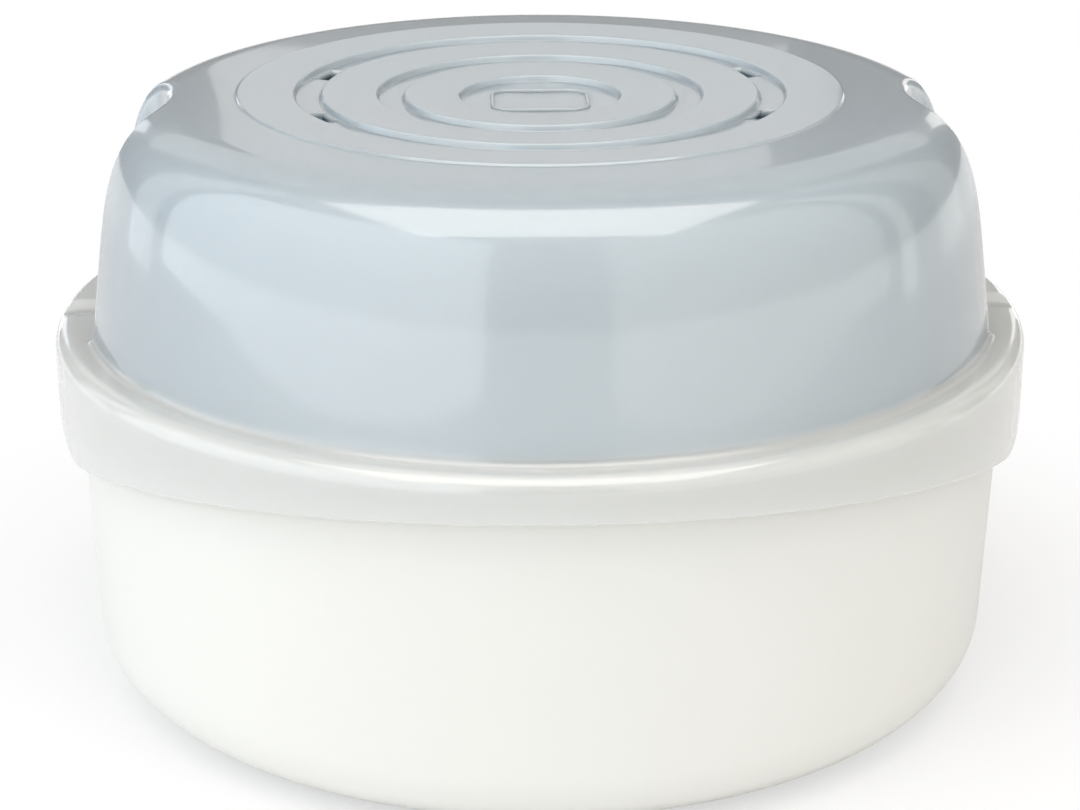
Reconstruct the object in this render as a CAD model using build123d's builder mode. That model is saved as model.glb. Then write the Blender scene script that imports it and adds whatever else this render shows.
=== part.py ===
from build123d import *
import os
from math import hypot, radians, tan

os.makedirs("parts", exist_ok=True)

# Sizes are in millimetres and angles in degrees.
# The origin is the centre of the face that the bowl stands on, +Z is up,
# and the lid's two grip recesses lie on the X axis.

# Clearances
seat_gap = 0.2  # between a piece and the flat face it rests on
slip_gap = 0.3  # round a piece that lifts out of another
locating_gap = 0.7  # between the bowl's rim and the rib that centres the lid
pin_gap = 0.06  # round the pin that the tongs turn on
cut_margin = 5.0  # how far a cutting shape runs past what it cuts

# Bowl
bowl_radius = 138.0
bowl_taper = 0.04
bowl_wall = 2.8
rim_height = 105.7
lip_depth = 5.0
lip_width = 1.9
lip_round = 1.4
foot_inset = 29.0
foot_width = 10.0
foot_height = 1.6
foot_bevel = 1.5
corner_height = 20.0
corner_fullness = 0.6

# Lid dome
lid_wall = 2.4
dome_rise = 66.7
wall_rise = 28.0
wall_taper = 0.128
shoulder_low_pull = 24.4
shoulder_width = 29.4
shoulder_pull = 18.5
shoulder_slope = 0.045

# Raised rings on the lid's top
dish_slope = 0.0375
ring_step = 1.8
rim_step = 0.6
step_draft = 0.25
step_round = 0.6
outer_ring = (71.2, 87.9)
middle_ring = (47.2, 63.7)
inner_ring = (23.3, 39.7)

# Steam vents in the outer groove
vent_length = 11.8
vent_width = 3.8
vent_angle = 22.5
vent_corner = 1.0

# Lid flange and skirt
flange_thickness = 2.6
skirt_overhang = 5.3
flange_width = 9.9
skirt_wall = 2.4
skirt_round = 4.5
skirt_inner_round = 2.2
skirt_front_depth = 12.1
skirt_dip_depth = 30.4
skirt_dip_offset = 50.0
skirt_arch_depth = 21.5
skirt_arch_offset = 22.0
skirt_edge_round = 30.0
locating_rib_depth = 4.0
locating_rib_wall = 2.2

# Grip recesses in the lid's sides
recess_standoff = 2.7
recess_low_radius = 34.5
recess_draft = 3.2
recess_round = 3.5
recess_foot_round = 2.0
notch_width = 17.0
notch_depth = 1.5
notch_inset = 7.0

# Bottle rack
rack_height = 26.0
rack_thickness = 2.4
rack_gap = 6.2
rack_rim_height = 9.0
rack_rim_wall = 2.4
leg_count = 4
leg_radius = 6.0
leg_inset = 26.0
leg_draft = 1.5
seat_count = 4
seat_ring_radius = 78.0
seat_span = 46.0
seat_height = 14.0
seat_rib = 3.0
seat_angle = 45.0
steam_hole_radius = 4.5
steam_hole_count = 8
steam_ring_radius = 17.0
edge_hole_count = 32
edge_hole_radius = 3.5
edge_hole_inset = 9.0
hub_hole_count = 12
hub_ring_radius = 32.0
socket_wall = 3.0
socket_height = 12.0

# Centre post
post_radius = 10.0
post_top_radius = 7.0
post_shoulder_height = 116.0
post_height = 152.0
post_wall = 2.2
post_round = 3.0

# Basket for teats and rings
basket_radius = 36.0
basket_depth = 20.0
basket_wall = 2.0
basket_draft = 3.0
basket_round = 3.0
basket_hub_wall = 2.2
basket_lip_radius = 39.5
basket_lip_width = 3.5
basket_hole_radius = 3.0
basket_hole_count = 12
basket_hole_ring_radius = 23.0

# Tongs, lying across the basket's rim
tongs_length = 150.0
tongs_offset = 22.0
tongs_thickness = 8.0
tongs_pivot_x = -70.0
arm_width = 6.5
arm_tip_width = 9.0
arm_tip_length = 24.0
arm_gap = 1.2
eye_radius = 7.0
eye_clearance = 2.0
arm_tip_round = 3.5
pin_radius = 2.5
pin_head_radius = 4.2
pin_head_height = 1.2

# Heights and radii that follow from the sizes above
corner_radius = bowl_radius - bowl_taper * (rim_height - lip_depth - corner_height)
foot_outer_radius = bowl_radius - foot_inset
foot_inner_radius = foot_outer_radius - foot_width
floor_height = foot_height + bowl_wall
flange_base = rim_height + seat_gap
flange_height = flange_base + flange_thickness
lid_height = flange_height + dome_rise
shoulder_low = flange_height + wall_rise
skirt_radius = bowl_radius + skirt_overhang
wall_foot_radius = skirt_radius - flange_width
shoulder_radius = wall_foot_radius - shoulder_width
dish_height = lid_height - dish_slope * outer_ring[1]
skirt_front_height = flange_height - skirt_front_depth
skirt_dip_height = flange_height - skirt_dip_depth
skirt_arch_height = flange_height - skirt_arch_depth
recess_offset = skirt_radius + recess_standoff
raised_rings = (inner_ring, middle_ring, outer_ring)
rack_top = rack_height + rack_thickness
basket_base = post_shoulder_height + seat_gap
basket_hub_radius = post_top_radius + slip_gap
basket_rim = basket_base + basket_depth
tongs_base = basket_rim + seat_gap
groove_radius = (middle_ring[1] + outer_ring[0]) / 2
notch_radius = (notch_width**2 / 4 + notch_depth**2) / (2 * notch_depth)
notch_start_radius = recess_offset - recess_low_radius + notch_inset
notch_run = skirt_radius - notch_start_radius
reach = skirt_radius + cut_margin
skirt_slope = (skirt_front_height - skirt_dip_height) / (skirt_radius - skirt_dip_offset)
reach_height = skirt_front_height + skirt_slope * cut_margin
eye_height = (tongs_thickness - slip_gap) / 2


def wall_radius(height):
    """The radius of the lid's outer wall at a height."""
    return wall_foot_radius - wall_taper * (height - flange_height)


def bowl_inner_radius(height):
    """The radius of the bowl's inner wall at a height."""
    return corner_radius + bowl_taper * (height - corner_height) - bowl_wall


def top_height(radius):
    """The height of the raised rings, which dish gently towards the centre."""
    return dish_height + dish_slope * radius


def dome_section(inset):
    """Draws the lid's section from the axis to the top of its wall, this far inside the outer face."""
    points = [(0, top_height(0) - ring_step - inset)]
    for inner, outer in raised_rings:
        inner_edge = inner + inset
        outer_edge = outer - inset
        floor_step = rim_step if outer == outer_ring[1] else ring_step
        points.append((inner_edge - step_draft, top_height(inner) - ring_step - inset))
        points.append((inner_edge + step_draft, top_height(inner) - inset))
        points.append((outer_edge - step_draft, top_height(outer) - inset))
        points.append((outer_edge + step_draft, top_height(outer) - floor_step - inset))
    ring_foot = outer_ring[1] + step_draft - inset
    shoulder_radius_here = shoulder_radius - inset * shoulder_slope
    shoulder_height = points[-1][1] - shoulder_slope * (shoulder_radius_here - ring_foot)
    points.append((shoulder_radius_here, shoulder_height))
    FilletPolyline(*points, radius=step_round)
    wall_top = (wall_radius(shoulder_low) - inset, shoulder_low)
    Bezier(
        points[-1],
        (points[-1][0] + shoulder_pull - inset, points[-1][1] - shoulder_slope * (shoulder_pull - inset)),
        (wall_top[0] - wall_taper * (shoulder_low_pull - inset), wall_top[1] + shoulder_low_pull - inset),
        wall_top,
    )
    return points[0], wall_top


def recess_radius(height, inset):
    """The radius of the grip recess at a height, measured to a face this far inside the lid."""
    return recess_low_radius + inset + (height - flange_height) * tan(radians(recess_draft))


def cut_recesses(low, inset):
    """Cuts the two grip recesses, from a height upwards."""
    high = lid_height + cut_margin
    with Locations((-recess_offset, 0, low), (recess_offset, 0, low)):
        Cone(
            recess_radius(low, inset),
            recess_radius(high, inset),
            high - low,
            align=(Align.CENTER, Align.CENTER, Align.MIN),
            mode=Mode.SUBTRACT,
        )


def on_recess(edge):
    """Whether an edge lies on the face of a grip recess."""
    point = edge @ 0.5
    distance = hypot(abs(point.X) - recess_offset, point.Y)
    return point.Z > flange_height - seat_gap and abs(distance - recess_radius(point.Z, 0)) < seat_gap


def widest_edge(piece, height):
    """The longest edge that lies level at a height."""
    return piece.edges().filter_by_position(Axis.Z, height, height).sort_by(SortBy.LENGTH)[-1]


# Bowl: one moulding with a foot ring, a full lower corner and a lip under the lid's flange
with BuildPart() as base:
    with BuildSketch(Plane.XZ):
        with BuildLine():
            Polyline(
                (0, foot_height),
                (foot_inner_radius, foot_height),
                (foot_inner_radius + foot_bevel, 0),
                (foot_outer_radius, 0),
            )
            corner_run = (corner_radius - foot_outer_radius) * corner_fullness
            corner_rise = corner_height * corner_fullness
            Bezier(
                (foot_outer_radius, 0),
                (foot_outer_radius + corner_run, 0),
                (corner_radius - bowl_taper * corner_rise, corner_height - corner_rise),
                (corner_radius, corner_height),
            )
            Polyline(
                (corner_radius, corner_height),
                (bowl_radius, rim_height - lip_depth),
                (bowl_radius + lip_width, rim_height - lip_depth),
                (bowl_radius + lip_width, rim_height),
                (bowl_inner_radius(rim_height), rim_height),
                (bowl_inner_radius(corner_height), corner_height),
            )
            inner_run = (bowl_inner_radius(corner_height) - foot_outer_radius) * corner_fullness
            inner_rise = (corner_height - floor_height) * corner_fullness
            Bezier(
                (bowl_inner_radius(corner_height), corner_height),
                (bowl_inner_radius(corner_height) - bowl_taper * inner_rise, corner_height - inner_rise),
                (foot_outer_radius + inner_run, floor_height),
                (foot_outer_radius, floor_height),
            )
            Polyline((foot_outer_radius, floor_height), (0, floor_height), (0, foot_height))
        make_face()
    revolve(axis=Axis.Z)
    fillet(widest_edge(base, rim_height), lip_round)
base.part.label = "base"
export_step(base.part, "parts/base.step")

# Space inside the lid, from the skirt's mouth up to the underside of the rings
with BuildPart() as lid_cavity:
    with BuildSketch(Plane.YZ):
        with BuildLine():
            axis_top, wall_top = dome_section(lid_wall)
            Polyline(
                wall_top,
                (wall_radius(flange_base) - lid_wall, flange_base),
                (skirt_radius - skirt_wall, flange_base),
                (skirt_radius - skirt_wall, 0),
                (0, 0),
                axis_top,
            )
        make_face()
    revolve(axis=Axis.Z)
    fillet(widest_edge(lid_cavity, flange_base), skirt_inner_round)
    cut_recesses(flange_base, lid_wall)

# Lid: dome, ringed top, flange and skirt in one thin moulding
with BuildPart() as lid:
    with BuildSketch(Plane.YZ):
        with BuildLine():
            axis_top, wall_top = dome_section(0)
            Polyline(
                wall_top,
                (wall_foot_radius, flange_height),
                (skirt_radius, flange_height),
                (skirt_radius, skirt_dip_height),
                (0, skirt_dip_height),
                axis_top,
            )
        make_face()
    revolve(axis=Axis.Z)
    fillet(widest_edge(lid, flange_height), skirt_round)
    cut_recesses(flange_height, 0)
    crests = lid.edges().filter_by(on_recess).filter_by_position(Axis.Z, flange_height + seat_gap, lid_height)
    fillet(crests, recess_round)
    feet = lid.edges().filter_by_position(Axis.Z, flange_height, flange_height).sort_by(SortBy.LENGTH)[:-1]
    fillet(feet, recess_foot_round)
    add(lid_cavity.part, mode=Mode.SUBTRACT)

    # Rib that centres the lid inside the bowl's rim
    with BuildSketch(Plane.XY.offset(flange_base - locating_rib_depth)):
        Circle(bowl_inner_radius(rim_height) - locating_gap)
        Circle(bowl_inner_radius(rim_height) - locating_gap - locating_rib_wall, mode=Mode.SUBTRACT)
    extrude(amount=locating_rib_depth + flange_thickness / 2)

    # Lower edge of the skirt, highest at the front and back, with an arch under each grip recess
    with BuildSketch(Plane.YZ):
        with BuildLine():
            FilletPolyline(
                (-reach, reach_height),
                (-skirt_dip_offset, skirt_dip_height),
                (-skirt_arch_offset, skirt_arch_height),
                (skirt_arch_offset, skirt_arch_height),
                (skirt_dip_offset, skirt_dip_height),
                (reach, reach_height),
                radius=skirt_edge_round,
            )
            Polyline((reach, reach_height), (reach, 0), (-reach, 0), (-reach, reach_height))
        make_face()
    extrude(amount=reach, both=True, mode=Mode.SUBTRACT)

    # Steam vents through the floor of the outer groove
    with BuildSketch(Plane.XY.offset(lid_height)):
        for start in (vent_angle, -vent_angle):
            with PolarLocations(groove_radius, 2, start_angle=start):
                RectangleRounded(vent_width, vent_length, vent_corner)
    extrude(amount=-(ring_step + lid_wall + cut_margin), mode=Mode.SUBTRACT)

    # Thumb notch that deepens across the flange below each grip recess
    for side in (-1, 1):
        notch_start = (side * notch_start_radius, 0, flange_height + notch_radius)
        with BuildSketch(Plane(notch_start, z_dir=(side * notch_run, 0, -notch_depth))):
            Circle(notch_radius)
        extrude(amount=notch_run + cut_margin, mode=Mode.SUBTRACT)
lid.part.label = "lid"
export_step(lid.part, "parts/lid.step")

# Bottle rack: a drained plate on legs, with a cross at each seat that a bottle's neck goes over
rack_radius = bowl_inner_radius(rack_height) - rack_gap
with BuildPart() as bottle_rack:
    with BuildSketch(Plane.XY.offset(rack_height)):
        Circle(rack_radius)
        Circle(steam_hole_radius, mode=Mode.SUBTRACT)
        with PolarLocations(seat_ring_radius, seat_count, start_angle=seat_angle):
            with PolarLocations(steam_ring_radius, steam_hole_count, start_angle=180 / steam_hole_count):
                Circle(steam_hole_radius, mode=Mode.SUBTRACT)
        with PolarLocations(hub_ring_radius, hub_hole_count):
            Circle(steam_hole_radius, mode=Mode.SUBTRACT)
        with PolarLocations(rack_radius - edge_hole_inset, edge_hole_count, start_angle=180 / edge_hole_count):
            Circle(edge_hole_radius, mode=Mode.SUBTRACT)
    extrude(amount=rack_thickness)
    with BuildSketch(Plane.XY.offset(rack_height)):
        Circle(rack_radius)
        Circle(rack_radius - rack_rim_wall, mode=Mode.SUBTRACT)
    extrude(amount=rack_rim_height)
    with BuildSketch(Plane.XY.offset(rack_top)):
        with PolarLocations(seat_ring_radius, seat_count, start_angle=seat_angle):
            Rectangle(seat_span, seat_rib)
            Rectangle(seat_rib, seat_span)
    extrude(amount=seat_height)
    with BuildSketch(Plane.XY.offset(rack_top)):
        Circle(post_radius + slip_gap + socket_wall)
        Circle(post_radius + slip_gap, mode=Mode.SUBTRACT)
    extrude(amount=socket_height)
    with BuildSketch(Plane.XY.offset(rack_height)):
        with PolarLocations(rack_radius - leg_inset, leg_count):
            Circle(leg_radius)
    extrude(amount=-(rack_height - floor_height - seat_gap), taper=leg_draft)
bottle_rack.part.label = "bottle_rack"
export_step(bottle_rack.part, "parts/bottle_rack.step")

# Centre post: a hollow stem that stands in the rack's socket, with a shoulder for the basket
with BuildPart() as centre_post:
    with BuildSketch(Plane.XZ):
        Polygon(
            (0, rack_top),
            (post_radius, rack_top),
            (post_radius, post_shoulder_height),
            (post_top_radius, post_shoulder_height),
            (post_top_radius, post_height),
            (0, post_height),
            align=None,
        )
    revolve(axis=Axis.Z)
    fillet(widest_edge(centre_post, post_height), post_round)
    with BuildSketch(Plane.XZ):
        Polygon(
            (0, rack_top),
            (post_radius - post_wall, rack_top),
            (post_radius - post_wall, post_shoulder_height - post_wall),
            (post_top_radius - post_wall, post_shoulder_height - post_wall),
            (post_top_radius - post_wall, post_height - post_wall),
            (0, post_height - post_wall),
            align=None,
        )
    revolve(axis=Axis.Z, mode=Mode.SUBTRACT)
centre_post.part.label = "centre_post"
export_step(centre_post.part, "parts/centre_post.step")

# Teat basket: an open cup whose hub slides down over the post
with BuildPart() as teat_basket:
    with BuildSketch(Plane.XY.offset(basket_base)):
        Circle(basket_radius)
    extrude(amount=basket_depth, taper=-basket_draft)
    fillet(widest_edge(teat_basket, basket_base), basket_round)
    with BuildSketch(Plane.XY.offset(basket_base + basket_wall)):
        Circle(basket_radius - basket_wall)
    extrude(amount=basket_depth, taper=-basket_draft, mode=Mode.SUBTRACT)
    with BuildSketch(Plane.XY.offset(basket_rim - basket_wall)):
        Circle(basket_lip_radius)
        Circle(basket_lip_radius - basket_lip_width, mode=Mode.SUBTRACT)
    extrude(amount=basket_wall)
    with BuildSketch(Plane.XY.offset(basket_base)):
        Circle(basket_hub_radius + basket_hub_wall)
    extrude(amount=basket_depth)
    with BuildSketch(Plane.XY.offset(basket_base)):
        Circle(basket_hub_radius)
        with PolarLocations(basket_hole_ring_radius, basket_hole_count):
            Circle(basket_hole_radius)
    extrude(amount=basket_depth, mode=Mode.SUBTRACT)
teat_basket.part.label = "teat_basket"
export_step(teat_basket.part, "parts/teat_basket.step")


def make_arm(side):
    """One arm of the tongs: -1 for the arm with the lower eye, 1 for the arm with the upper eye."""
    inner_face = tongs_offset + side * arm_gap / 2
    shaft_face = inner_face + side * arm_width
    tip_face = inner_face + side * arm_tip_width
    tip_x = tongs_pivot_x + tongs_length
    own_base = tongs_base if side < 0 else tongs_base + tongs_thickness - eye_height
    other_base = tongs_base if side > 0 else tongs_base + eye_height
    with BuildPart() as arm:
        with BuildSketch(Plane.XY.offset(tongs_base)) as outline:
            Polygon(
                (tongs_pivot_x, inner_face),
                (tip_x, inner_face),
                (tip_x, tip_face),
                (tip_x - arm_tip_length, tip_face),
                (tip_x - 2 * arm_tip_length, shaft_face),
                (tongs_pivot_x, shaft_face),
                align=None,
            )
            fillet(outline.vertices().group_by(Axis.X)[-1], arm_tip_round)
        extrude(amount=tongs_thickness)
        with BuildSketch(Plane.XY.offset(other_base)):
            with Locations((tongs_pivot_x, tongs_offset)):
                Circle(eye_radius + eye_clearance)
        extrude(amount=tongs_thickness - eye_height, mode=Mode.SUBTRACT)
        with BuildSketch(Plane.XY.offset(own_base)):
            with Locations((tongs_pivot_x, tongs_offset)):
                Circle(eye_radius)
        extrude(amount=eye_height)
        with BuildSketch(Plane.XY.offset(own_base)):
            with Locations((tongs_pivot_x, tongs_offset)):
                Circle(pin_radius + pin_gap)
        extrude(amount=eye_height, mode=Mode.SUBTRACT)
    return arm


# Tongs: two flat arms that turn on a pin with a head at each end
tongs_lower_arm = make_arm(-1)
tongs_lower_arm.part.label = "tongs_lower_arm"
export_step(tongs_lower_arm.part, "parts/tongs_lower_arm.step")

tongs_upper_arm = make_arm(1)
tongs_upper_arm.part.label = "tongs_upper_arm"
export_step(tongs_upper_arm.part, "parts/tongs_upper_arm.step")

with BuildPart() as tongs_pin:
    shank_base = tongs_base - pin_gap
    shank_length = tongs_thickness + 2 * pin_gap
    with BuildSketch(Plane.XY.offset(shank_base)):
        with Locations((tongs_pivot_x, tongs_offset)):
            Circle(pin_radius)
    extrude(amount=shank_length)
    with BuildSketch(Plane.XY.offset(shank_base), Plane.XY.offset(shank_base + shank_length + pin_head_height)):
        with Locations((tongs_pivot_x, tongs_offset)):
            Circle(pin_head_radius)
    extrude(amount=-pin_head_height)
tongs_pin.part.label = "tongs_pin"
export_step(tongs_pin.part, "parts/tongs_pin.step")
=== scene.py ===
"""Microwave bottle sterilizer: the finished look of its bowl, lid, rack, basket and tongs on a pale stage."""

from math import cos, pi, radians, sin, tan

import bmesh
import bpy
import numpy as np
from bpy.props import FloatProperty, IntProperty, PointerProperty, StringProperty
from mathutils import Matrix, Vector
from mathutils.geometry import interpolate_bezier


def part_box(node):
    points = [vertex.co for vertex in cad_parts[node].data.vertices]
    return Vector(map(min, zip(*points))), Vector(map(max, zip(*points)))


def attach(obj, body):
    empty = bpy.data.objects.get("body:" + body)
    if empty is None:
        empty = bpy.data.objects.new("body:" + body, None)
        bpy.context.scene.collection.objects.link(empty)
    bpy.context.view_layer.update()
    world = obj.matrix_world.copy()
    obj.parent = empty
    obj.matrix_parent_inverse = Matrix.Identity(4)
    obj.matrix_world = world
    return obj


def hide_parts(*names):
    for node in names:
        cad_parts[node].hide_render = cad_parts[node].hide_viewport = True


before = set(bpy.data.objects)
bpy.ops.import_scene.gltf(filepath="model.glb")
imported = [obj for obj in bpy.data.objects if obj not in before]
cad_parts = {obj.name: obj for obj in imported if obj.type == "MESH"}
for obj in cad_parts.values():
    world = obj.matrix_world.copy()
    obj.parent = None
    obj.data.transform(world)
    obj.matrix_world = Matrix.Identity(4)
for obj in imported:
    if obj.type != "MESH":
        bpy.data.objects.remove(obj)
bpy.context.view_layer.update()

bl_info = {
    "name": "Microwave Bottle Sterilizer",
    "version": (1, 0, 0),
    "blender": (4, 5, 0),
    "location": "3D View > Sidebar > Sterilizer",
    "description": "Builds a microwave bottle sterilizer and its stage",
    "category": "Object",
}

MM = 0.001

# Vertices nearer than this are one, and the play in telling where a vertex lies
MERGE = 0.001 * MM
TINY = 0.01 * MM

# On the small pieces, faces nearer to level than FLAT are joined, an edge sharper than ROUNDED is rounded,
# and one sharper than CREASED still shades as an edge
FLAT, ROUNDED, CREASED = radians(0.5), radians(40), radians(35)

# Heights and a radius that the pieces share with the CAD
LID_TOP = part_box("lid")[1].z
SKIRT_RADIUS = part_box("lid")[1].x
RIM_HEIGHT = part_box("base")[1].z

# Steps round the lid across a recess, across a vent, and from one vent to the next
RECESS_STEPS, VENT_STEPS, BETWEEN_STEPS = 100, 10, 84

# How far round from the X axis a recess's crest can reach, the passes that round it, and the least slope
# that a pass divides by
CREST_REACH = radians(26)
CREST_PASSES = 6
LEAST_SLOPE = 0.1

# How wide the soft changes of tint in a moulding are
DRIFT_WIDTH = 60 * MM

# The colour sockets of a Mix node
MIX_LOW, MIX_HIGH, MIX_RESULT = 6, 7, 2

WHITE = (1.0, 1.0, 1.0, 1.0)

# The ray, where its fade over the floor starts and ends, and the glow at the start
FLOOR_FADES = (("Is Camera Ray", 0.14, 0.28, 0.55), ("Is Glossy Ray", 0.5, 1.0, 0.0))
FLOOR_HALF_SIZE = 6.0

# Each sheet of the backdrop: its middle, and its half width and half height
BACKDROPS = {
    "backdrop_low": ((0, 1.6, 0.62), (0.285, 0.2)),
    "backdrop_high": ((0, 1.6, 1.72), (1.2, 0.9)),
}

# Each panel: its light and its share of that, its tint, azimuth, distance, width and height
PANELS = {
    "panel_left": ("left_light", 1.0, "left_tint", radians(-60), 1.0, 2.07, 1.4),
    "panel_right": ("right_light", 1.0, "right_tint", radians(52.5), 1.0, 1.53, 1.4),
    "edge_left": ("edge_light", 0.7, "left_tint", radians(-115), 0.95, 0.2, 1.4),
    "edge_right": ("edge_light", 0.8, "right_tint", radians(97), 0.95, 0.1, 1.4),
    "edge_right_back": ("edge_light", 0.3, "right_tint", radians(120), 0.95, 0.25, 1.4),
    "back_left": ("back_light", 1.0, "left_tint", radians(-152), 1.2, 0.14, 0.5),
    "back_right": ("back_light", 1.0, "right_tint", radians(152), 1.2, 0.14, 0.5),
}
OVERHEAD_PLACE = (0, -0.35, 1.2)
OVERHEAD_SIZE = (1.3, 1.0)


def length(name, description, default):
    """A property for a length in metres."""
    return FloatProperty(name=name, description=description, default=default, unit="LENGTH")


def angle(name, description, default):
    """A property for an angle in radians."""
    return FloatProperty(name=name, description=description, default=default, subtype="ANGLE")


def amount(name, description, default):
    """A property for a plain number: a slope, a share or a radiance."""
    return FloatProperty(name=name, description=description, default=default, min=0)


def colour(name, description, default):
    """A property for an sRGB hex colour."""
    return StringProperty(name=name, description=description, default=default)


class LidSizes(bpy.types.PropertyGroup):
    wall: length("Wall", "Thickness of the moulding", 2.4 * MM)
    foot_width: length("Flange width", "From the skirt's face to the foot of the wall", 9.9 * MM)
    wall_taper: amount("Wall taper", "Inward lean of the wall per unit of height", 0.128)
    wall_rise: length("Wall rise", "Height of the straight part of the wall", 28.0 * MM)
    shoulder_width: length("Shoulder width", "From the wall's foot in to where the top begins", 29.4 * MM)
    shoulder_slope: amount("Shoulder slope", "Fall of the top's outer band", 0.045)
    shoulder_pull: length("Shoulder pull", "Length of the curve's handle on the top", 18.5 * MM)
    shoulder_low_pull: length("Shoulder low pull", "Length of the curve's handle on the wall", 24.4 * MM)
    dish_slope: amount("Dish slope", "Rise of the ringed top towards its edge", 0.0375)
    ring_step: length("Ring step", "Height of a raised ring", 1.8 * MM)
    rim_step: length("Rim step", "Height of the outermost ring's outer edge", 0.6 * MM)
    ring_round: length("Ring rounding", "Rounding of the rings' edges", 0.6 * MM)
    flange: length("Flange", "Thickness of the flange", 2.6 * MM)
    foot_round: length("Foot rounding", "Hollow rounding at the foot of the wall", 2.0 * MM)
    skirt_round: length("Skirt rounding", "Rounding of the flange's outer edge", 4.5 * MM)
    skirt_front: length("Skirt front", "Depth of the skirt at the front, from the flange's top", 12.1 * MM)
    skirt_dip: length("Skirt dip", "Depth of the skirt at its lowest points", 30.4 * MM)
    skirt_arch: length("Skirt arch", "Depth of the skirt below each grip recess", 21.5 * MM)
    dip_offset: length("Dip offset", "Distance of the lowest points from the X axis", 50.0 * MM)
    arch_offset: length("Arch offset", "Half width of the arch below each grip recess", 22.0 * MM)
    edge_round: length("Edge rounding", "Rounding of the skirt's lower line", 30.0 * MM)
    rib_play: length("Rib play", "From the bowl's wall in to the centring rib", 0.7 * MM)
    rib_width: length("Rib width", "Thickness of the centring rib", 2.2 * MM)
    rib_depth: length("Rib depth", "Depth of the centring rib below the flange", 4.0 * MM)
    under_round: length("Under rounding", "Hollow rounding under the flange", 2.2 * MM)
    low_round: length("Low rounding", "Rounding of the skirt's lower edge", 0.5 * MM)
    seat_gap: length("Seat gap", "From the bowl's rim up to the flange", 0.2 * MM)


class RecessSizes(bpy.types.PropertyGroup):
    standoff: length("Standoff", "From the skirt's face out to the axis of the recess", 2.7 * MM)
    radius: length("Radius", "Radius of the recess at the flange", 34.5 * MM)
    draft: angle("Draft", "Lean of the recess", radians(3.2))
    crest: length("Crest rounding", "Rounding where the recess meets the dome", 2.6 * MM)
    notch_width: length("Notch width", "Width of the thumb notch in the flange", 17.0 * MM)
    notch_depth: length("Notch depth", "Depth of the thumb notch at the flange's edge", 1.5 * MM)
    notch_inset: length("Notch inset", "From the recess out to where the notch begins", 7.0 * MM)


class VentSizes(bpy.types.PropertyGroup):
    width: length("Vent width", "Width of each steam vent", 3.8 * MM)
    turn: angle("Vent turn", "Turn of each vent from the X axis", radians(22.5))
    half_span: angle("Half span", "Half the angle a vent covers", radians(5))


class FrameSizes(bpy.types.PropertyGroup):
    width: length("Frame width", "Size of the raised frame along X", 29.0 * MM)
    depth: length("Frame depth", "Size of the raised frame along Y", 25.0 * MM)
    corner: length("Frame corner", "Rounding of the frame's corners", 6.0 * MM)
    line: length("Frame line", "Width of the frame's raised line", 1.3 * MM)
    rise: length("Frame rise", "Height of the frame over the lid's top", 0.8 * MM)
    sunk: length("Frame sunk", "Depth of the frame in the lid's top", 0.3 * MM)
    rounding: amount("Frame rounding", "Share of the line's width that rounds each upper edge", 0.45)


class BowlSizes(bpy.types.PropertyGroup):
    radius: length("Radius", "Outer radius under the lip", 138.0 * MM)
    taper: amount("Taper", "Outward lean of the side per unit of height", 0.04)
    wall: length("Wall", "Thickness of the moulding", 2.8 * MM)
    lip_depth: length("Lip depth", "Height of the lip at the rim", 5.0 * MM)
    lip_width: length("Lip width", "How far the lip stands out", 1.9 * MM)
    lip_round: length("Lip rounding", "Rounding of the lip's upper edge", 1.4 * MM)
    edge_round: length("Edge rounding", "Rounding of the other edges", 0.6 * MM)
    foot_inset: length("Foot inset", "From the side in to the foot ring", 29.0 * MM)
    foot_width: length("Foot width", "Width of the foot ring", 10.0 * MM)
    foot_height: length("Foot height", "Height of the foot ring", 1.6 * MM)
    foot_bevel: length("Foot bevel", "Slope on the foot ring's inner side", 1.5 * MM)
    corner_height: length("Corner height", "Height of the full lower corner", 20.0 * MM)
    corner_fullness: amount("Corner fullness", "Share of the corner's legs that its curve follows", 0.6)


class Finishes(bpy.types.PropertyGroup):
    lid: colour("Lid", "Tint of the cloudy lid", "#D2DDE3")
    # Painted shade: a deeper tint where the eye looks along the wall, standing in for light lost through more
    # plastic
    lid_grazing_shade: colour("Lid edge", "Tint of the lid where the eye looks along its wall", "#9DA9AF")
    # Painted light: a paler tint that stands in for the white bowl's light seen through the skirt and flange
    skirt: colour("Skirt", "Tint of the lid over the white bowl", "#E5E8E5")
    # Painted light too: the bowl's light through the plastic, where the eye looks along the skirt
    skirt_grazing_glow: colour("Skirt edge", "Tint over the bowl where the eye looks along it", "#E6E8E5")
    bowl: colour("Bowl", "Colour of the bowl", "#EAEAE5")
    rack: colour("Rack", "Colour of the rack, post and basket", "#EEF0F0")
    tongs: colour("Tongs", "Colour of the tongs", "#A9C3D6")
    pin: colour("Pin", "Colour of the tongs' pin", "#E9EAEB")
    edge_bevel: length("Edge bevel", "Rounding of the small pieces' edges", 0.4 * MM)
    turns: IntProperty(name="Turns", description="Steps round the bowl", default=256)


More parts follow.
